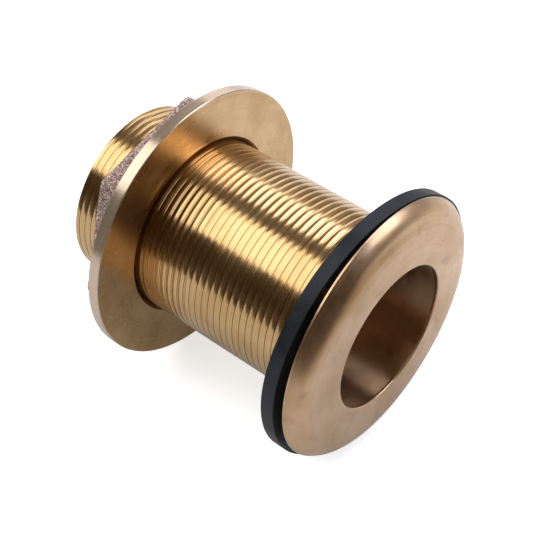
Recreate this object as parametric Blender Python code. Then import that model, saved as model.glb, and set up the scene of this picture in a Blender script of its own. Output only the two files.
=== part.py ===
"""Thru hull fitting: a mushroom-headed threaded body, its rubber gasket and its flanged nut.

The fitting lies along X with the outer face of its head towards +X and +Z up. The origin is on the
axis, halfway between the head's outer face and the free end of the barrel. Sizes are in metres.
"""
from math import cos, exp, floor, pi, radians, sin, tau

import bmesh
import bpy

MM = 0.001

# Barrel and thread (M48 x 2, right hand)
THREAD_RADIUS = 24.0 * MM
THREAD_PITCH = 2.0 * MM
THREAD_DEPTH = 1.2 * MM
BORE_RADIUS = 19.5 * MM
BARREL_REACH = 79.3 * MM       # from the rim of the head to the free end
END_LAND = 0.5 * MM            # plain band at the free end, as deep as the thread
NECK_LENGTH = 1.5 * MM         # plain groove behind the head
EDGE_BREAK = 0.4 * MM          # small chamfer on machined edges

# Head
HEAD_RADIUS = 35.35 * MM
DOME_HEIGHT = 4.2 * MM         # the outer face above the rim
DOME_SHOULDER = 2.3 * MM       # how quickly the dome levels out
RIM_THICKNESS = 0.5 * MM
DOME_RINGS = 9

# Gasket
GASKET_RADIUS = 36.3 * MM
GASKET_HOLE_RADIUS = 26.0 * MM
GASKET_THICKNESS = 3.7 * MM
GASKET_GAP = 1.4 * MM          # it hangs loose behind the head

# Nut: a round flange with a cast hexagon behind it
FLANGE_RADIUS = 37.9 * MM
FLANGE_THICKNESS = 3.3 * MM
NUT_THICKNESS = 11.8 * MM
HEX_ACROSS_FLATS = 56.0 * MM
HEX_CORNER_RADIUS = 31.9 * MM  # the cast corners are slightly rounded
HEX_DRAFT = 0.3 * MM           # the hexagon is this much wider at the flange
HEX_CORNER_ANGLE = radians(13.2)
NUT_TO_RIM = 56.9 * MM         # from the rim of the head to the nut's hull face
NUT_MOUTH_RADIUS = 25.2 * MM   # countersunk mouth of the nut's thread
NUT_MOUTH_DEPTH = 1.0 * MM
THREAD_CLEARANCE = 0.4 * MM    # radial play between the nut's thread and the barrel's

OVERALL_LENGTH = BARREL_REACH + DOME_HEIGHT
FACE_X = OVERALL_LENGTH / 2
END_X = -OVERALL_LENGTH / 2
RIM_X = FACE_X - DOME_HEIGHT
HEAD_BACK_X = RIM_X - RIM_THICKNESS
GASKET_FRONT_X = HEAD_BACK_X - GASKET_GAP
NUT_FACE_X = RIM_X - NUT_TO_RIM

COARSE = 30                    # columns round the threads
FINE = 2 * COARSE              # columns round everything else


def circle(bm, x, radius, count=FINE, phase=0.0):
    """A ring of vertices round the X axis. radius is a number or a function of the angle."""
    ring = []
    for k in range(count):
        angle = phase + tau * k / count
        r = radius(angle) if callable(radius) else radius
        ring.append(bm.verts.new((x, r * cos(angle), r * sin(angle))))
    return ring


def join(bm, first, second):
    """Faces between two rings that start at the same angle; one may have twice the columns."""
    if len(first) < len(second):
        first, second = second, first
    n, m = len(first), len(second)
    for k in range(m):
        near, far = second[k], second[(k + 1) % m]
        if n == m:
            bm.faces.new((first[k], first[(k + 1) % n], far, near))
        else:
            left, middle, right = first[2 * k], first[2 * k + 1], first[(2 * k + 2) % n]
            bm.faces.new((near, left, middle))
            bm.faces.new((near, middle, far))
            bm.faces.new((far, middle, right))


def join_all(bm, rings):
    for first, second in zip(rings, rings[1:]):
        join(bm, first, second)


def thread(bm, low_ring, high_ring, low, high, crest, root, shift=0.0, phase=0.0):
    """A right-hand V thread between two rings at x = low and x = high.

    Rows of vertices follow the helix, alternately at the crest and the root radius. Crests cross
    angle 0 at whole pitches from the part's origin; shift is where the object's own origin is.
    Rows that would pass an end are drawn in to its ring.
    """
    count = len(low_ring)
    first_turn = floor((low + shift) / THREAD_PITCH) - 2
    rows = 2 * (floor((high - low) / THREAD_PITCH) + 5)
    margin = 0.12 * THREAD_PITCH
    made = {}

    def corner(row, column):
        if column == count:
            row, column = row + 2, 0
        if (row, column) not in made:
            angle = phase + tau * column / count
            x = THREAD_PITCH * (first_turn + row / 2 + angle / tau) - shift
            radius = root if row % 2 else crest
            if x < low + margin:
                vertex = low_ring[column]
            elif x > high - margin:
                vertex = high_ring[column]
            else:
                vertex = bm.verts.new((x, radius * cos(angle), radius * sin(angle)))
            made[row, column] = vertex
        return made[row, column]

    for row in range(rows):
        for column in range(count):
            corners = [
                corner(row, column),
                corner(row, column + 1),
                corner(row + 1, column + 1),
                corner(row + 1, column),
            ]
            face = list(dict.fromkeys(corners))
            if len(face) > 2:
                bm.faces.new(face)


def dome_height(radius):
    """Height of the head's outer face above its rim: steep at the rim, level at the bore."""
    inward = HEAD_RADIUS - radius
    full = 1 - exp(-(HEAD_RADIUS - BORE_RADIUS) / DOME_SHOULDER)
    return DOME_HEIGHT * (1 - exp(-inward / DOME_SHOULDER)) / full


def hexagon(across_flats):
    """The radius of a hexagon with rounded corners, as a function of the angle."""

    def radius(angle):
        from_flat = (angle - HEX_CORNER_ANGLE) % (pi / 3) - pi / 6
        return min(across_flats / 2 / cos(from_flat), HEX_CORNER_RADIUS)

    return radius


def finish(name, bm, x, material):
    """Turn a bmesh into a named object on the axis at x."""
    bmesh.ops.recalc_face_normals(bm, faces=bm.faces)
    mesh = bpy.data.meshes.new(name)
    bm.to_mesh(mesh)
    bm.free()
    mesh.shade_smooth()
    mesh.set_sharp_from_angle(angle=radians(30))
    mesh.materials.append(material)
    piece = bpy.data.objects.new(name, mesh)
    piece.location.x = x
    bpy.context.collection.objects.link(piece)
    return piece


def make_material(name, colour, metallic, roughness):
    material = bpy.data.materials.new(name)
    material.use_nodes = True
    shader = material.node_tree.nodes["Principled BSDF"]
    shader.inputs["Base Color"].default_value = (*colour, 1.0)
    shader.inputs["Metallic"].default_value = metallic
    shader.inputs["Roughness"].default_value = roughness
    return material


def make_body():
    """The head and the threaded barrel, one casting with a bore right through it."""
    bm = bmesh.new()
    thread_top = HEAD_BACK_X - NECK_LENGTH
    thread_bottom = END_X + END_LAND
    root = THREAD_RADIUS - THREAD_DEPTH

    top_ring = circle(bm, thread_top, root, COARSE)
    bottom_ring = circle(bm, thread_bottom, root, COARSE)
    thread(bm, bottom_ring, top_ring, thread_bottom, thread_top, THREAD_RADIUS, root)

    dome_start = BORE_RADIUS + EDGE_BREAK
    head = [
        top_ring,
        circle(bm, HEAD_BACK_X, root, COARSE),
        circle(bm, HEAD_BACK_X, HEAD_RADIUS),
    ]
    for k in range(DOME_RINGS):
        inward = (HEAD_RADIUS - dome_start) * (k / (DOME_RINGS - 1)) ** 1.6
        radius = HEAD_RADIUS - inward
        head.append(circle(bm, RIM_X + dome_height(radius), radius))
    bore = [
        circle(bm, FACE_X - EDGE_BREAK, BORE_RADIUS),
        circle(bm, END_X + EDGE_BREAK, BORE_RADIUS),
    ]
    end = [
        circle(bm, END_X, BORE_RADIUS + EDGE_BREAK),
        circle(bm, END_X, root, COARSE),
        bottom_ring,
    ]
    join_all(bm, head + bore + end)
    brass = make_material("golden_brass", (0.62, 0.40, 0.14), 1.0, 0.22)
    return finish("thru_hull_body", bm, 0.0, brass)


def make_gasket():
    """The flat rubber ring that seals the head against the outside of the hull."""
    bm = bmesh.new()
    half = GASKET_THICKNESS / 2
    outline = [
        (-half, GASKET_HOLE_RADIUS),
        (half, GASKET_HOLE_RADIUS),
        (half, GASKET_RADIUS - EDGE_BREAK),
        (half - EDGE_BREAK, GASKET_RADIUS),
        (EDGE_BREAK - half, GASKET_RADIUS),
        (-half, GASKET_RADIUS - EDGE_BREAK),
    ]
    rings = [circle(bm, x, radius) for x, radius in outline]
    join_all(bm, rings + rings[:1])
    rubber = make_material("black_rubber", (0.03, 0.033, 0.038), 0.0, 0.6)
    return finish("gasket", bm, GASKET_FRONT_X - half, rubber)


def make_nut():
    """The backing nut: flange towards the hull, rough cast hexagon behind, threaded hole."""
    bm = bmesh.new()
    groove = THREAD_RADIUS + THREAD_CLEARANCE
    ridge = groove - THREAD_DEPTH
    start = HEX_CORNER_ANGLE

    def ring(x, radius, count=FINE):
        return circle(bm, x, radius, count, start)

    mouth = ring(-NUT_MOUTH_DEPTH, groove, COARSE)
    tail = ring(NUT_MOUTH_DEPTH - NUT_THICKNESS, groove, COARSE)
    thread(
        bm,
        tail,
        mouth,
        NUT_MOUTH_DEPTH - NUT_THICKNESS,
        -NUT_MOUTH_DEPTH,
        groove,
        ridge,
        shift=NUT_FACE_X,
        phase=start,
    )
    wide = hexagon(HEX_ACROSS_FLATS + HEX_DRAFT)
    narrow = hexagon(HEX_ACROSS_FLATS)
    outside = [
        mouth,
        ring(0.0, NUT_MOUTH_RADIUS, COARSE),
        ring(0.0, FLANGE_RADIUS - EDGE_BREAK),
        ring(-EDGE_BREAK, FLANGE_RADIUS),
        ring(EDGE_BREAK - FLANGE_THICKNESS, FLANGE_RADIUS),
        ring(-FLANGE_THICKNESS, FLANGE_RADIUS - EDGE_BREAK),
        ring(-FLANGE_THICKNESS, wide),
        ring(EDGE_BREAK - NUT_THICKNESS, narrow),
        ring(-NUT_THICKNESS, lambda angle: narrow(angle) - EDGE_BREAK),
        ring(-NUT_THICKNESS, NUT_MOUTH_RADIUS, COARSE),
        tail,
    ]
    join_all(bm, outside)
    bronze = make_material("cast_bronze", (0.52, 0.36, 0.20), 1.0, 0.34)
    return finish("flange_nut", bm, NUT_FACE_X, bronze)


for old in list(bpy.data.objects):
    bpy.data.objects.remove(old, do_unlink=True)

make_body()
make_gasket()
make_nut()
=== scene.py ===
"""Looks of a thru hull fitting: the turned brass body, the bent rubber gasket and the cast nut.

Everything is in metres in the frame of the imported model: the fitting lies along X with the outer
face of its head towards +X, and +Z is up. Each piece is built round the X axis in mesh code and
stands for the CAD node of the same part.
"""

from math import cos, exp, floor, pi, radians, sin, tan, tau

import bmesh
import bpy
import numpy as np
from mathutils import Matrix, Vector, noise


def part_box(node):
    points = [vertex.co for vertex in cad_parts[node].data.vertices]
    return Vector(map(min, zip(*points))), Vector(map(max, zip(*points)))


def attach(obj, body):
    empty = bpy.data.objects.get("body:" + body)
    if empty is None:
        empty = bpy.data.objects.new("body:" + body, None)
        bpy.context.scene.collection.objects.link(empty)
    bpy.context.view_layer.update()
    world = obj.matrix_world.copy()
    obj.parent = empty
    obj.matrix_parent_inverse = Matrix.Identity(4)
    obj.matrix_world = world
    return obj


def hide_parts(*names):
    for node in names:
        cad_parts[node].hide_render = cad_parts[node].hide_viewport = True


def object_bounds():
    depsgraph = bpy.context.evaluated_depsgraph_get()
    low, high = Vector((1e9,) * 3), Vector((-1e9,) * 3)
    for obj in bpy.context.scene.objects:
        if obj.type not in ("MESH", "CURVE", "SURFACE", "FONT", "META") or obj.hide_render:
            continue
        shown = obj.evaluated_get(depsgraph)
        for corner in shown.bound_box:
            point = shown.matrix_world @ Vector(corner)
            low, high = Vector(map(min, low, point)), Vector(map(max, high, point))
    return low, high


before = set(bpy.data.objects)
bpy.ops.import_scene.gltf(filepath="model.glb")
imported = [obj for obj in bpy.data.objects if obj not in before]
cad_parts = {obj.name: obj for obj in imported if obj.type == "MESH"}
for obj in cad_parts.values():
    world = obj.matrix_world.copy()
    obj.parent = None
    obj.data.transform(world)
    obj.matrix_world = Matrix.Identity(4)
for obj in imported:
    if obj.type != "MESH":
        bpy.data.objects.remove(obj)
cad_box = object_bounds()

MM = 0.001

# Places that come from the frame
BODY_LOW, BODY_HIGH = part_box("thru_hull_body")
NUT_LOW, NUT_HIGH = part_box("flange_nut")
GASKET_LOW, GASKET_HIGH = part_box("gasket")
END_X = BODY_LOW.x
FACE_X = BODY_HIGH.x
HEAD_RADIUS = BODY_HIGH.y
NUT_FACE_X = NUT_HIGH.x
NUT_REAR_X = NUT_LOW.x
FLANGE_RADIUS = NUT_HIGH.z
GASKET_RADIUS = GASKET_HIGH.y
FLOOR_Z = cad_box[0].z

# Barrel and thread
THREAD_RADIUS = 24.0 * MM
THREAD_PITCH = 2.0 * MM
PITCH_PROFILE = (             # share of the pitch from the middle of a crest, depth in mm
    (0.00, 0.000), (0.12, 0.005), (0.24, 0.020), (0.36, 0.044), (0.45, 0.068),  # broad crest
    (0.475, 0.180), (0.500, 0.180), (0.53, 0.070),                              # narrow root
    (0.60, 0.074), (0.63, 0.102),                                               # tool mark
    (0.74, 0.070), (0.84, 0.038), (0.92, 0.014),                                # slope to the crest
)
ROOT_LOW = 0.45               # shares of the pitch between which the thread's root is painted dark: painted shade deep in the groove
ROOT_HIGH = 0.53
END_DEPTH = 0.45 * MM         # the thread is chamfered to this depth at the free end
NECK_DEPTH = 1.2 * MM         # and runs out to this depth behind the head
NECK_RADIUS = THREAD_RADIUS - NECK_DEPTH
NECK_LENGTH = 1.5 * MM
NECK_CORNER = 0.25 * MM
BORE_RADIUS = 19.5 * MM
BORE_END_CORNER = 0.3 * MM    # rounding of the bore's edge at the free end

# Head
DOME_HEIGHT = 4.2 * MM
DOME_SHOULDER = 2.3 * MM      # how quickly the dome levels out
DOME_RINGS = 44
DOME_CROWDING = 1.5           # higher crowds the dome's rings towards the rim
RIM_THICKNESS = 0.5 * MM
RIM_BACK_CORNER = 0.12 * MM
RIM_FRONT_CORNER = 0.15 * MM
RIM_X = FACE_X - DOME_HEIGHT
HEAD_BACK_X = RIM_X - RIM_THICKNESS
HEAD_SKIN_RADIUS = NECK_RADIUS + 3.0 * MM     # on its back, where the head's satin skin begins
MOUTH_CORNER = 0.45 * MM      # rounding of the bore's mouth in the head
DOME_STOP = 1.8               # in mouth corners: the dome ends clear of the rounded mouth

# Gasket: rests against the head on one side, and has sprung away from it on the other
GASKET_HOLE_RADIUS = 26.0 * MM
GASKET_THICKNESS = GASKET_HIGH.x - GASKET_LOW.x
GASKET_CORNER = 0.22 * MM
GASKET_HOLE_CORNER = 0.6 * GASKET_CORNER
GASKET_REST_GAP = 0.1 * MM
GASKET_SPRING = 2.55 * MM     # how far it has sprung away, most at the angle below
GASKET_SPRING_ANGLE = radians(185)
GASKET_SPRING_POWER = 1.45    # higher bends it more sharply
GASKET_DROOP = Vector((0.0, 0.93, -1.55)) * MM
GASKET_RIPPLE = 0.08 * MM
GASKET_RIPPLES = 55           # noise frequency, per metre

# Nut
FLANGE_THICKNESS = 3.1 * MM
FLANGE_REAR_X = NUT_FACE_X - FLANGE_THICKNESS
FLANGE_CHAMFER = 0.18 * MM
FLANGE_FRONT_CORNER = 0.05 * MM
FLANGE_REAR_CORNER = 0.15 * MM
FLANGE_SKIN_RADIUS = 33.4 * MM    # on its rear face, the turned rim's band ends at this radius
HEX_ACROSS_FLATS = 56.0 * MM
HEX_DRAFT = 0.3 * MM          # the hexagon is this much wider at the flange
HEX_CORNER_ANGLE = radians(13.2)
HEX_SHARPNESS = 60            # higher is a sharper corner
HEX_WEAR_ANGLE = radians(0.9)     # the corners are worn bright this far to each side
HEX_FILLET = 0.7 * MM         # between the flange and the hexagon
HEX_EDGE = 0.22 * MM          # rounding of the hexagon's rear edge
HEX_ROWS = 12                 # rows of faces along its walls
NUT_MOUTH_RADIUS = 25.2 * MM
NUT_MOUTH_DEPTH = 1.0 * MM
NUT_MOUTH_LAND = 0.15 * MM    # a narrow ring of the flange's face round the mouth
NUT_HOLE_RIM = NUT_MOUTH_RADIUS + 0.6 * MM    # on the rear face, where the cast skin ends
NUT_HOLE_CORNER = 0.12 * MM
NUT_CLEARANCE = 0.25 * MM     # radial play between the nut's thread and the barrel's
CAST_LUMPS = 0.07 * MM
CAST_LUMP_FREQUENCY = 380     # per metre
CAST_GRAIN = 0.05 * MM
CAST_GRAIN_FREQUENCY = 1300
CAST_EDGE_SETBACK = 0.1 * MM  # the flange's rear face stays smooth this deep
CAST_FADE_BEHIND = 0.5 * MM   # the cast roughness comes in over this much behind the flange
CAST_FADE_ROUND = 0.8 * MM    # and over this much round the threaded hole
CAST_SINK = 0.3               # shares of the lumps by which the rear face sinks

# Meshes
BODY_COLUMNS = 160
NUT_COLUMNS = 480
GASKET_COLUMNS = 240
WELD = 0.0004 * MM
SHARP_ANGLE = radians(30)
CORNER_SUPPORT = 1.6          # where a corner's support points are, in corner sizes

MARK_DEPTH = 0.0006 * MM      # bump of the tool's rings on turned surfaces


class Turning:
    """A closed mesh built up from rings round the X axis, with a material slot for each face."""

    def __init__(self, columns):
        self.columns = columns
        self.angles = tau * (np.arange(columns) / columns)
        self.points = []
        self.faces = []
        self.slots = []

    def add(self, x, radius):
        """Vertices at x and radius, each one number or one for each column."""
        first = len(self.points)
        x = np.broadcast_to(x, self.columns)
        radius = np.broadcast_to(radius, self.columns)
        around = np.column_stack((x, radius * np.cos(self.angles), radius * np.sin(self.angles)))
        self.points.extend(map(tuple, around))
        return np.arange(first, first + self.columns)

    def join(self, first, second, slot):
        """Faces between two rings. slot is one number or one for each column."""
        after = np.roll(np.arange(self.columns), -1)
        for k, n in enumerate(after):
            self.faces.append((first[k], first[n], second[n], second[k]))
        self.slots.extend(np.broadcast_to(slot, self.columns).tolist())

    def lathe(self, outline, slot):
        """Faces of one material between the outline's (x, radius) rings."""
        rings = [self.add(x, radius) for x, radius in outline]
        for first, second in zip(rings, rings[1:]):
            self.join(first, second, slot)

    def thread(self, low, high, crest, outward, slot, root_slot):
        """A right-hand thread between rings at x = low and x = high.

        Rows of vertices follow the helix. outward is 1 on a rod, and -1 in a nut, where crest is
        the radius of the groove that clears the rod's crest.
        """
        steps = len(PITCH_PROFILE)
        first_turn = floor(low / THREAD_PITCH) - 2
        turns = floor((high - low) / THREAD_PITCH) + 5
        rows = []
        for row in range(turns * steps):
            share, depth = PITCH_PROFILE[row % steps]
            depth *= MM
            x = THREAD_PITCH * (first_turn + row // steps + share + self.angles / tau)
            inside = np.clip(x, low, high)
            if outward > 0:
                run_out = np.maximum(END_DEPTH - (inside - low), NECK_DEPTH - (high - inside))
                radius = crest - np.maximum(depth, run_out)
            else:
                radius = crest - np.minimum(depth, np.minimum(inside - low, high - inside))
            rows.append((inside, self.add(inside, radius)))
        for row in range(len(rows) - steps - 1):
            for k in range(self.columns):
                last = k == self.columns - 1
                n = 0 if last else k + 1
                ahead = steps if last else 0
                corners = ((row, k), (row + ahead, n), (row + ahead + 1, n), (row + 1, k))
                xs = [rows[r][0][c] for r, c in corners]
                if max(xs) - min(xs) > WELD:
                    self.faces.append(tuple(rows[r][1][c] for r, c in corners))
                    share = PITCH_PROFILE[row % steps][0]
                    self.slots.append(root_slot if ROOT_LOW <= share < ROOT_HIGH else slot)

    def make(self, name, materials, shape=None):
        """The finished object. shape moves each vertex before the normals are worked out."""
        mesh = bpy.data.meshes.new(name)
        mesh.from_pydata(self.points, [], self.faces)
        mesh.polygons.foreach_set("material_index", self.slots)
        bm = bmesh.new()
        bm.from_mesh(mesh)
        bmesh.ops.remove_doubles(bm, verts=bm.verts, dist=WELD)
        bmesh.ops.delete(bm, geom=[v for v in bm.verts if not v.link_faces], context="VERTS")
        if shape:
            for vertex in bm.verts:
                vertex.co = shape(vertex.co)
        bmesh.ops.recalc_face_normals(bm, faces=bm.faces)
        bm.to_mesh(mesh)
        bm.free()
        mesh.shade_smooth()
        mesh.set_sharp_from_angle(angle=SHARP_ANGLE)
        for material in materials:
            mesh.materials.append(material)
        piece = bpy.data.objects.new(name, mesh)
        bpy.context.scene.collection.objects.link(piece)
        return piece


def rounded(outline, steps=4):
    """The (x, radius, corner) outline with its corners rounded, as (x, radius) points.

    A support point on each side of a corner keeps the flats next to it flat in the shading.
    """
    out = []
    for k, (x, radius, corner) in enumerate(outline):
        here = Vector((x, radius))
        if not corner:
            out.append(here)
            continue
        back = (Vector(outline[k - 1][:2]) - here).normalized()
        ahead = (Vector(outline[(k + 1) % len(outline)][:2]) - here).normalized()
        start = here + back * corner
        end = here + ahead * corner
        out.append(here + back * corner * CORNER_SUPPORT)
        for step in range(steps + 1):
            t = step / steps
            out.append(start * (1 - t) ** 2 + here * 2 * t * (1 - t) + end * t ** 2)
        out.append(here + ahead * corner * CORNER_SUPPORT)
    return [(p.x, p.y) for p in out]


def dome_height(radius):
    """Height of the head's outer face above its rim: steep at the rim, level at the bore."""
    inward = HEAD_RADIUS - radius
    full = 1 - exp(-(HEAD_RADIUS - BORE_RADIUS) / DOME_SHOULDER)
    return DOME_HEIGHT * (1 - exp(-inward / DOME_SHOULDER)) / full


# ---------------------------------------------------------------------------- materials

class Shading:
    """A material's nodes, added one call at a time."""

    def __init__(self, name):
        self.material = bpy.data.materials.new(name)
        self.material.use_nodes = True
        self.tree = self.material.node_tree
        self.surface = self.tree.nodes["Principled BSDF"]
        self.place = self.node("ShaderNodeTexCoord").outputs["Object"]

    def node(self, kind, inputs=None, **settings):
        """A new node with its inputs, sockets or plain values, and its settings."""
        made = self.tree.nodes.new(kind)
        for name, value in settings.items():
            setattr(made, name, value)
        for socket, value in (inputs or {}).items():
            self.feed(made.inputs[socket], value)
        return made

    def feed(self, socket, value):
        """Link another node's socket to this one, or set it to a plain value."""
        if isinstance(value, bpy.types.NodeSocket):
            self.tree.links.new(value, socket)
        else:
            socket.default_value = value

    def math(self, operation, first, second=0.0):
        return self.node("ShaderNodeMath", {0: first, 1: second}, operation=operation).outputs[0]

    def noise(self, vector, scale, detail=4.0, roughness=0.55):
        """Cloudy noise, nearly all of it between 0.3 and 0.7. On self.place, scale is per metre."""
        given = {"Vector": vector, "Scale": scale, "Detail": detail, "Roughness": roughness}
        return self.node("ShaderNodeTexNoise", given).outputs["Fac"]

    def span(self, value, low, high, to_low=0.0, to_high=1.0):
        """value's range low to high, smoothed and mapped onto to_low to to_high."""
        given = {"Value": value, "From Min": low, "From Max": high, "To Min": to_low, "To Max": to_high}
        made = self.node("ShaderNodeMapRange", given, interpolation_type="SMOOTHSTEP")
        return made.outputs["Result"]

    def mix(self, factor, first, second):
        """A colour from first, at factor 0, to second, at 1. Each is a socket or a plain colour."""
        made = self.node("ShaderNodeMix", {0: factor}, data_type="RGBA")
        self.feed(made.inputs[6], (*first, 1.0) if isinstance(first, tuple) else first)
        self.feed(made.inputs[7], (*second, 1.0) if isinstance(second, tuple) else second)
        return made.outputs[2]

    def turning_marks(self, spacing):
        """Fine rings round the X axis, at about that spacing, that fade in and out round it."""
        fading = 25.0             # noise frequency round the axis, per metre
        x, y, z = self.node("ShaderNodeSeparateXYZ", {0: self.place}).outputs
        square = self.math("ADD", self.math("MULTIPLY", y, y), self.math("MULTIPLY", z, z))
        along = self.math("MULTIPLY", x, 1 / spacing)
        out = self.math("MULTIPLY", self.math("SQRT", square), 1 / spacing)
        around = self.math("MULTIPLY", self.math("ADD", y, z), fading)
        vector = self.node("ShaderNodeCombineXYZ", {0: along, 1: out, 2: around}).outputs[0]
        return self.noise(vector, 1.0, detail=1.0)

    def bump(self, height, distance, under=None):
        """A normal bumped by height. under is the normal of a coarser bump below it."""
        made = self.node("ShaderNodeBump", {"Height": height, "Distance": distance, "Strength": 1.0})
        if under:
            self.feed(made.inputs["Normal"], under)
        return made.outputs["Normal"]

    def finish(self, colour, roughness, normal, metallic=1.0, **plain):
        """Connect the surface. plain holds its other inputs, with _ for a space in a name."""
        self.feed(self.surface.inputs["Base Color"], colour)
        self.feed(self.surface.inputs["Roughness"], roughness)
        self.feed(self.surface.inputs["Normal"], normal)
        self.surface.inputs["Metallic"].default_value = metallic
        for name, value in plain.items():
            self.surface.inputs[name.replace("_", " ")].default_value = value
        return self.material


def turned_brass(name, bright, deep, roughness, spacing, stains=0.0, stretch=0.0, metallic=1.0):
    """Machined brass: faint rings from the tool, cloudy colour, and a few small stains.

    spacing is the distance from ring to ring. stretch draws the reflections out along the axis,
    as the rings do in a bore.
    """
    s = Shading(name)
    marks = s.turning_marks(spacing)
    clouds = s.noise(s.place, 80.0, 3.0)
    colour = s.mix(s.span(clouds, 0.35, 0.68), bright, deep)
    streaked = s.mix(s.span(marks, 0.42, 0.75, 0.0, 0.22), colour, deep)
    if stains:
        spots = s.span(s.noise(s.place, 170.0, 3.0, 0.5), 0.58, 0.75, 0.0, stains)
        streaked = s.mix(spots, streaked, tuple(0.35 * c for c in deep))
    smears = s.noise(s.place, 130.0, 2.0)
    smeared = s.span(smears, 0.3, 0.7, roughness * 0.85, roughness * 1.2)
    rough = s.math("ADD", smeared, s.span(marks, 0.3, 0.7, 0.0, 0.05))
    normal = s.bump(marks, MARK_DEPTH)
    if stretch:
        ring = s.node("ShaderNodeTangent", direction_type="RADIAL", axis="X").outputs[0]
        s.feed(s.surface.inputs["Tangent"], ring)
    quarter_turn = 0.25
    return s.finish(streaked, rough, normal, metallic,
                    Anisotropic=stretch, Anisotropic_Rotation=quarter_turn)


def cast_bronze(name, bright, dark):
    """Sand-cast skin: rough grain, purplish scale, dark hollows and bronze on the high spots."""
    s = Shading(name)
    grain = s.noise(s.place, 1900.0, 5.0, 0.6)
    patches = s.noise(s.place, 260.0, 4.0)
    scale = s.mix(s.span(patches, 0.38, 0.62), (0.30, 0.20, 0.18), (0.37, 0.25, 0.20))
    worn = s.mix(s.span(grain, 0.50, 0.62), scale, bright)
    hollow = s.mix(s.span(grain, 0.47, 0.38), worn, dark)
    rough = s.span(grain, 0.3, 0.7, 0.58, 0.34)
    normal = s.bump(grain, 0.42 * MM)
    return s.finish(hollow, rough, normal, metallic=0.8)


def black_rubber():
    """Moulded rubber: blue-black, with a soft bloom and dust in its fine pores."""
    s = Shading("black_rubber")
    bloom = s.noise(s.place, 140.0, 5.0)
    colour = s.mix(s.span(bloom, 0.35, 0.7), (0.006, 0.007, 0.010), (0.013, 0.015, 0.020))
    pores = s.noise(s.place, 3200.0, 3.0)
    dust = s.mix(s.span(pores, 0.60, 0.72, 0.0, 0.35), colour, (0.06, 0.065, 0.075))
    rough = s.span(bloom, 0.3, 0.7, 0.38, 0.50)
    lumps = s.bump(s.noise(s.place, 500.0, 3.0), 0.05 * MM)
    normal = s.bump(pores, 0.05 * MM, under=lumps)
    return s.finish(dust, rough, normal, metallic=0.0, Specular_IOR_Level=0.25)


THREAD_BRASS = turned_brass(
    "thread_brass", (0.64, 0.42, 0.20), (0.57, 0.35, 0.15), 0.15, 0.60 * MM)
# The thread's narrow root in near-black brass: painted shade deep in the groove.
ROOT_SHADE_BRASS = turned_brass(
    "root_painted_shade", (0.17, 0.11, 0.05), (0.11, 0.07, 0.03), 0.45, 0.60 * MM)
HEAD_BRASS = turned_brass(
    "head_brass", (0.66, 0.45, 0.285), (0.56, 0.365, 0.205), 0.29, 0.90 * MM, stains=0.35)
BORE_BRASS = turned_brass(
    "bore_brass", (0.52, 0.32, 0.18), (0.42, 0.25, 0.13), 0.36, 1.20 * MM, stretch=0.95)
FLANGE_BRASS = turned_brass(
    "flange_brass", (0.65, 0.44, 0.235), (0.52, 0.33, 0.155), 0.27, 0.90 * MM)
RIM_BRASS = turned_brass(
    "rim_brass", (0.62, 0.49, 0.37), (0.58, 0.44, 0.32), 0.17, 0.80 * MM, metallic=0.85)
# The nut's thread and mouth in darker, rougher brass: partly a duller finish, partly painted shade
# inside the hole.
NUT_HOLE_SHADED_BRASS = turned_brass(
    "nut_hole_painted_shade", (0.36, 0.22, 0.11), (0.28, 0.16, 0.08), 0.40, 0.80 * MM)
CAST_BRONZE = cast_bronze("cast_bronze", (0.72, 0.55, 0.46), (0.16, 0.105, 0.095))
WORN_BRONZE = cast_bronze("worn_bronze", (0.90, 0.72, 0.60), (0.30, 0.20, 0.16))
BLACK_RUBBER = black_rubber()


# ---------------------------------------------------------------------------- pieces

def make_body():
    """The head and the threaded barrel, with a plain bore right through."""
    thread_slot, root_slot, head_slot, bore_slot = range(4)
    turning = Turning(BODY_COLUMNS)
    neck_x = HEAD_BACK_X - NECK_LENGTH
    turning.thread(END_X, neck_x, THREAD_RADIUS, 1, thread_slot, root_slot)
    neck = [
        (neck_x, NECK_RADIUS, 0),
        (HEAD_BACK_X, NECK_RADIUS, NECK_CORNER),
        (HEAD_BACK_X, HEAD_SKIN_RADIUS, 0),
    ]
    turning.lathe(rounded(neck), thread_slot)

    head = [
        (HEAD_BACK_X, HEAD_SKIN_RADIUS, 0),
        (HEAD_BACK_X, HEAD_RADIUS, RIM_BACK_CORNER),
        (RIM_X, HEAD_RADIUS, RIM_FRONT_CORNER),
    ]
    dome_width = HEAD_RADIUS - BORE_RADIUS - DOME_STOP * MOUTH_CORNER
    for k in range(1, DOME_RINGS + 1):
        radius = HEAD_RADIUS - dome_width * (k / DOME_RINGS) ** DOME_CROWDING
        head.append((RIM_X + dome_height(radius), radius, 0))
    bore_x = FACE_X - 2 * MOUTH_CORNER
    head += [(FACE_X, BORE_RADIUS, MOUTH_CORNER), (bore_x, BORE_RADIUS, 0)]
    turning.lathe(rounded(head), head_slot)

    bore = [
        (bore_x, BORE_RADIUS, 0),
        (0.0, BORE_RADIUS, 0),
        (END_X, BORE_RADIUS, BORE_END_CORNER),
        (END_X, THREAD_RADIUS - END_DEPTH, 0),
    ]
    turning.lathe(rounded(bore), bore_slot)
    body = turning.make("turned_body", [THREAD_BRASS, ROOT_SHADE_BRASS, HEAD_BRASS, BORE_BRASS])
    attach(body, "thru_hull_body")
    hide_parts("thru_hull_body")


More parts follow.
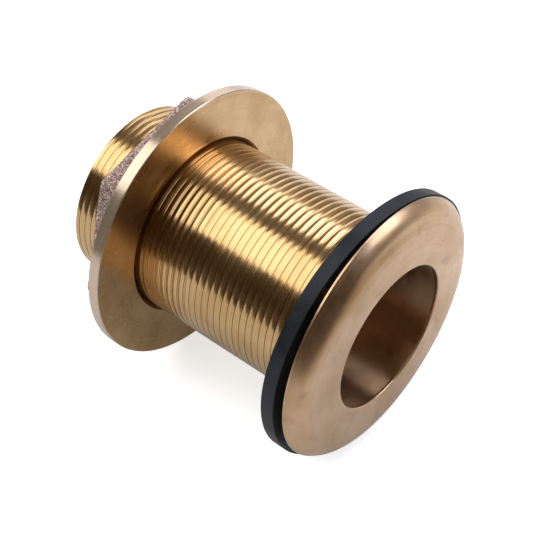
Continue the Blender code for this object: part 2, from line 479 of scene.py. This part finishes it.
def make_gasket():
    """The rubber ring, sagging on the barrel and sprung away from the head on one side."""
    turning = Turning(GASKET_COLUMNS)
    front = HEAD_BACK_X - GASKET_REST_GAP
    rear = front - GASKET_THICKNESS
    outline = [
        (rear, GASKET_HOLE_RADIUS, GASKET_HOLE_CORNER),
        (front, GASKET_HOLE_RADIUS, GASKET_HOLE_CORNER),
        (front, GASKET_RADIUS, GASKET_CORNER),
        (rear, GASKET_RADIUS, GASKET_CORNER),
    ]
    section = rounded(outline, 5)
    turning.lathe(section + section[:1], 0)

    def bend(place):
        angle = Vector((place.y, place.z)).angle_signed(Vector((1.0, 0.0)))
        away = ((1 + cos(angle - GASKET_SPRING_ANGLE)) / 2) ** GASKET_SPRING_POWER
        ripple = GASKET_RIPPLE * (noise.noise(place * GASKET_RIPPLES) - 1)
        return place + GASKET_DROOP + Vector((ripple - GASKET_SPRING * away, 0, 0))

    gasket = turning.make("rubber_gasket", [BLACK_RUBBER], bend)
    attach(gasket, "gasket")
    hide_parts("gasket")


def hex_radius(angles, across_flats):
    """Radius at each angle of a hexagon with slightly rounded corners."""
    total = 0.0
    for k in range(3):
        flat = HEX_CORNER_ANGLE + pi / 6 + k * pi / 3
        total = total + np.abs(np.cos(angles - flat)) ** HEX_SHARPNESS
    return across_flats / 2 * total ** (-1 / HEX_SHARPNESS)


def hex_section(cast_slot, worn_slot, walls):
    """The hexagon from the flange to its rear edge: (x, distance outside the hexagon, slot).

    The slot is that of the faces before each ring. walls has one for each column, so that the
    corners are worn, and the wear begins one row behind the fillet.
    """
    section = []
    for k in range(5):
        turn = pi / 2 * k / 4
        x = FLANGE_REAR_X - HEX_FILLET * (1 - cos(turn))
        section.append((x, HEX_FILLET * (1 - sin(turn)), cast_slot))
    height = FLANGE_REAR_X - HEX_FILLET - NUT_REAR_X - HEX_EDGE
    for k in range(1, HEX_ROWS):
        x = FLANGE_REAR_X - HEX_FILLET - height * k / HEX_ROWS
        section.append((x, 0.0, walls if k > 1 else cast_slot))
    for k in range(6):
        turn = pi / 2 * k / 5
        x = NUT_REAR_X + HEX_EDGE * (1 - sin(turn))
        section.append((x, -HEX_EDGE * (1 - cos(turn)), worn_slot))
    return section


def cast_skin(place):
    """Roughen the cast surfaces only, fading out towards the turned ones.

    The walls move outwards and the rear face backwards, with a share of each on the edge between.
    """
    radius = Vector((place.y, place.z)).length
    behind = (FLANGE_REAR_X - CAST_EDGE_SETBACK - place.x) / CAST_FADE_BEHIND
    outside = (radius - NUT_HOLE_RIM) / CAST_FADE_ROUND
    amount = min(1.0, max(0.0, behind)) * min(1.0, max(0.0, outside))
    if not amount:
        return place
    lump = noise.noise(place * CAST_LUMP_FREQUENCY) * CAST_LUMPS
    lump += noise.noise(place * CAST_GRAIN_FREQUENCY) * CAST_GRAIN
    away = Vector((0, place.y, place.z)).normalized()
    rear = max(0.0, 1 - (place.x - NUT_REAR_X) / HEX_EDGE)
    push = away * (1 - rear) + Vector((-1, 0, 0)) * rear
    return place + push * amount * (lump - CAST_SINK * CAST_LUMPS * rear)


def make_nut():
    """The backing nut: a turned flange, a rough cast hexagon behind it and a threaded hole."""
    turned_slot, rim_slot, cast_slot, worn_slot, thread_slot = range(5)
    turning = Turning(NUT_COLUMNS)
    groove = THREAD_RADIUS + NUT_CLEARANCE
    thread_low = NUT_REAR_X + NUT_MOUTH_DEPTH
    thread_high = NUT_FACE_X - NUT_MOUTH_DEPTH
    turning.thread(thread_low, thread_high, groove, -1, thread_slot, thread_slot)

    face_edge = FLANGE_RADIUS - 2 * FLANGE_CHAMFER
    turning.lathe([(thread_high, groove), (NUT_FACE_X, NUT_MOUTH_RADIUS)], thread_slot)
    face = [NUT_MOUTH_RADIUS, NUT_MOUTH_RADIUS + NUT_MOUTH_LAND, face_edge]
    turning.lathe([(NUT_FACE_X, radius) for radius in face], turned_slot)
    rim = [
        (NUT_FACE_X, face_edge, 0),
        (NUT_FACE_X, FLANGE_RADIUS - FLANGE_CHAMFER, FLANGE_FRONT_CORNER),
        (NUT_FACE_X - FLANGE_CHAMFER, FLANGE_RADIUS, FLANGE_FRONT_CORNER),
        (FLANGE_REAR_X, FLANGE_RADIUS, FLANGE_REAR_CORNER),
        (FLANGE_REAR_X, FLANGE_SKIN_RADIUS, 0),
    ]
    turning.lathe(rounded(rim), rim_slot)

    middles = turning.angles + pi / turning.columns
    from_corner = np.abs((middles - HEX_CORNER_ANGLE + pi / 6) % (pi / 3) - pi / 6)
    walls = np.where(from_corner < HEX_WEAR_ANGLE, worn_slot, cast_slot)
    length = FLANGE_REAR_X - NUT_REAR_X
    previous = turning.add(FLANGE_REAR_X, FLANGE_SKIN_RADIUS)
    for x, outside, slot in hex_section(cast_slot, worn_slot, walls):
        across = HEX_ACROSS_FLATS + HEX_DRAFT * (x - NUT_REAR_X) / length
        ring = turning.add(x, hex_radius(turning.angles, across) + outside)
        turning.join(previous, ring, slot)
        previous = ring
    rear_edge = hex_radius(turning.angles, HEX_ACROSS_FLATS) - HEX_EDGE
    for share in (0.75, 0.5, 0.25, 0.0):
        ring = turning.add(NUT_REAR_X, NUT_HOLE_RIM + (rear_edge - NUT_HOLE_RIM) * share)
        turning.join(previous, ring, cast_slot)
        previous = ring
    tail = [
        (NUT_REAR_X, NUT_HOLE_RIM, 0),
        (NUT_REAR_X, NUT_MOUTH_RADIUS, NUT_HOLE_CORNER),
        (thread_low, groove, 0),
    ]
    turning.lathe(rounded(tail), thread_slot)

    materials = [FLANGE_BRASS, RIM_BRASS, CAST_BRONZE, WORN_BRONZE, NUT_HOLE_SHADED_BRASS]
    nut = turning.make("cast_flange_nut", materials, cast_skin)
    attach(nut, "flange_nut")
    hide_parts("flange_nut")


make_body()
make_gasket()
make_nut()


# ---------------------------------------------------------------------------- studio

FLOOR_DROP = 0.2 * MM         # the floor is this far below the fitting
SHEET_DROP = 0.1 * MM         # and the sheet that reflections see is just above it


def disc(radius, segments):
    """A flat round sheet, as a bmesh."""
    bm = bmesh.new()
    bmesh.ops.create_circle(bm, cap_ends=True, segments=segments, radius=radius)
    return bm


def stage_object(name, bm, material):
    """Turn a bmesh into part of the stage."""
    mesh = bpy.data.meshes.new(name)
    bm.to_mesh(mesh)
    bm.free()
    mesh.materials.append(material)
    thing = bpy.data.objects.new(name, mesh)
    bpy.context.scene.collection.objects.link(thing)
    return thing


def make_floor():
    """A plain pale floor just under the fitting."""
    s = Shading("pale_floor")
    cloud = s.noise(s.place, 3.0, 3.0)
    colour = s.mix(cloud, (0.88, 0.88, 0.88), (0.91, 0.905, 0.90))
    normal = s.bump(s.noise(s.place, 900.0, 2.0), 0.02 * MM)
    s.finish(colour, 0.65, normal, metallic=0.0,
             Emission_Color=(1.0, 1.0, 1.0, 1.0), Emission_Strength=0.55)
    stage_object("floor", disc(12.0, 96), s.material).location.z = FLOOR_Z - FLOOR_DROP


def softbox(name, low, high, x_low, x_high, distance, radiance, turn=0.0):
    """A rectangular light along X that faces the fitting's axis.

    low and high are the angles of its long edges round the axis, in degrees from the horizon on
    the -Y side, over the top towards +Y. turn swings it in its own plane about its low-x edge.
    """
    middle = radians((low + high) / 2)
    out = Vector((0.0, -cos(middle), sin(middle)))
    data = bpy.data.lights.new(name, "AREA")
    data.shape = "RECTANGLE"
    data.size = x_high - x_low
    data.size_y = 2 * distance * tan(radians((high - low) / 2))
    data.energy = radiance * pi * data.size * data.size_y
    light = bpy.data.objects.new(name, data)
    along = Vector((1.0, 0.0, 0.0))
    hinge = Matrix.Translation(out * distance + along * x_low)
    facing = Matrix((along, out.cross(along), out)).transposed().to_4x4()
    swing = Matrix.Rotation(radians(turn), 4, "Z") @ Matrix.Translation((data.size / 2, 0, 0))
    light.matrix_world = hinge @ facing @ swing
    bpy.context.scene.collection.objects.link(light)
    return light


def make_world():
    """A dim room for reflections, lighter behind the fitting; white for the floor and the view."""
    world = bpy.data.worlds.new("studio")
    world.use_nodes = True
    tree = world.node_tree
    background = tree.nodes["Background"]
    place = tree.nodes.new("ShaderNodeTexCoord")
    parts = tree.nodes.new("ShaderNodeSeparateXYZ")
    tree.links.new(place.outputs["Generated"], parts.inputs[0])
    behind = tree.nodes.new("ShaderNodeMapRange")
    behind.interpolation_type = "SMOOTHSTEP"
    tree.links.new(parts.outputs["Y"], behind.inputs["Value"])
    behind.inputs["From Min"].default_value = -0.2
    behind.inputs["From Max"].default_value = 0.7
    room = tree.nodes.new("ShaderNodeMix")
    room.data_type = "RGBA"
    tree.links.new(behind.outputs[0], room.inputs[0])
    room.inputs[6].default_value = (0.06, 0.04, 0.025, 1.0)
    room.inputs[7].default_value = (0.36, 0.34, 0.32, 1.0)
    ray = tree.nodes.new("ShaderNodeLightPath")
    colour = room.outputs[2]
    for kind, level in (("Is Diffuse Ray", 0.5), ("Is Camera Ray", 1.0)):
        chosen = tree.nodes.new("ShaderNodeMix")
        chosen.data_type = "RGBA"
        tree.links.new(ray.outputs[kind], chosen.inputs[0])
        tree.links.new(colour, chosen.inputs[6])
        chosen.inputs[7].default_value = (level, level, level, 1.0)
        colour = chosen.outputs[2]
    tree.links.new(colour, background.inputs["Color"])
    bpy.context.scene.world = world


def make_camera():
    """The photograph's view of the fitting."""
    azimuth = radians(39.75)
    elevation = radians(46.38)
    distance = 0.31
    aim = Vector((14.0, -8.3, 8.2)) * MM
    back = Vector((sin(azimuth) * cos(elevation), -cos(azimuth) * cos(elevation), sin(elevation)))
    data = bpy.data.cameras.new("camera")
    data.lens = 82.6
    data.clip_start = 0.01
    camera = bpy.data.objects.new("camera", data)
    camera.location = aim + back * distance
    camera.rotation_euler = (pi / 2 - elevation, 0.0, azimuth)
    bpy.context.scene.collection.objects.link(camera)
    bpy.context.scene.camera = camera


def stage_card(name, bm, material):
    """Part of the stage that only reflections see."""
    card = stage_object(name, bm, material)
    card.visible_camera = False
    card.visible_shadow = False
    card.visible_diffuse = False
    return card


def flag(name, middle, facing, width):
    """A low dark upright card, as a photographer sets round shiny metal. Only reflections see it, so it
    is a painted dark reflection in the brass and casts no shade.
    """
    s = Shading(name)
    normal = s.bump(s.noise(s.place, 50.0), 0.1 * MM)
    s.finish((0.05, 0.032, 0.02, 1.0), 0.8, normal, metallic=0.0)
    across = Vector(facing).cross(Vector((0, 0, 1))).normalized() * width / 2
    foot = Vector((*middle, FLOOR_Z))
    top = Vector((0, 0, 0.10))
    corners = (foot - across, foot + across, foot + across + top, foot - across + top)
    bm = bmesh.new()
    bm.faces.new([bm.verts.new(corner) for corner in corners])
    stage_card(name, bm, s.material)


def make_ground_sheet():
    """A duller ground that only reflections see: a white floor is too bright in polished brass.

    It is lighter behind the fitting, and darker beyond the head.
    """
    s = Shading("ground_sheet")
    x, y = s.node("ShaderNodeSeparateXYZ", {0: s.place}).outputs[:2]
    behind = s.span(y, 0.015, 0.065)
    aside = s.span(s.math("SUBTRACT", y, s.math("MULTIPLY", x, 0.3)), 0.03, 0.12)
    far = s.math("MULTIPLY", s.span(x, 0.10, 0.14), s.math("SUBTRACT", 1.0, aside))
    plain = s.mix(behind, (0.51, 0.51, 0.51), (0.66, 0.66, 0.66))
    colour = s.mix(far, plain, (0.31, 0.26, 0.16))
    # The sheet glows faintly: painted light that lifts the fitting's own shadow where the brass
    # reflects it.
    s.feed(s.surface.inputs["Emission Color"], colour)
    normal = s.bump(s.noise(s.place, 50.0), 0.1 * MM)
    s.finish(colour, 0.8, normal, metallic=0.0, Emission_Strength=0.16)
    stage_card("ground_sheet", disc(2.0, 64), s.material).location.z = FLOOR_Z - SHEET_DROP


make_floor()
make_world()
make_camera()
make_ground_sheet()
flag("flag_front", middle=(0.0, -0.30), facing=(0, 1, 0), width=1.2)
flag("flag_side", middle=(0.165, -0.165), facing=(-1, 0, 0), width=0.37)
softbox("key", low=45, high=88, x_low=-1.8, x_high=0.15, distance=0.9, radiance=2.2)
back = softbox("back", low=104, high=138, x_low=-0.42, x_high=0.85, distance=0.9, radiance=3.0,
               turn=8)
back.data.color = (0.94, 1.0, 1.2)
softbox("left", low=145, high=178, x_low=-1.6, x_high=-0.45, distance=0.8, radiance=1.0)
fill = softbox("floor_fill", low=60, high=130, x_low=-0.4, x_high=1.6, distance=1.2,
               radiance=0.25)
fill.visible_glossy = False
bpy.context.scene.view_settings.view_transform = "Standard"
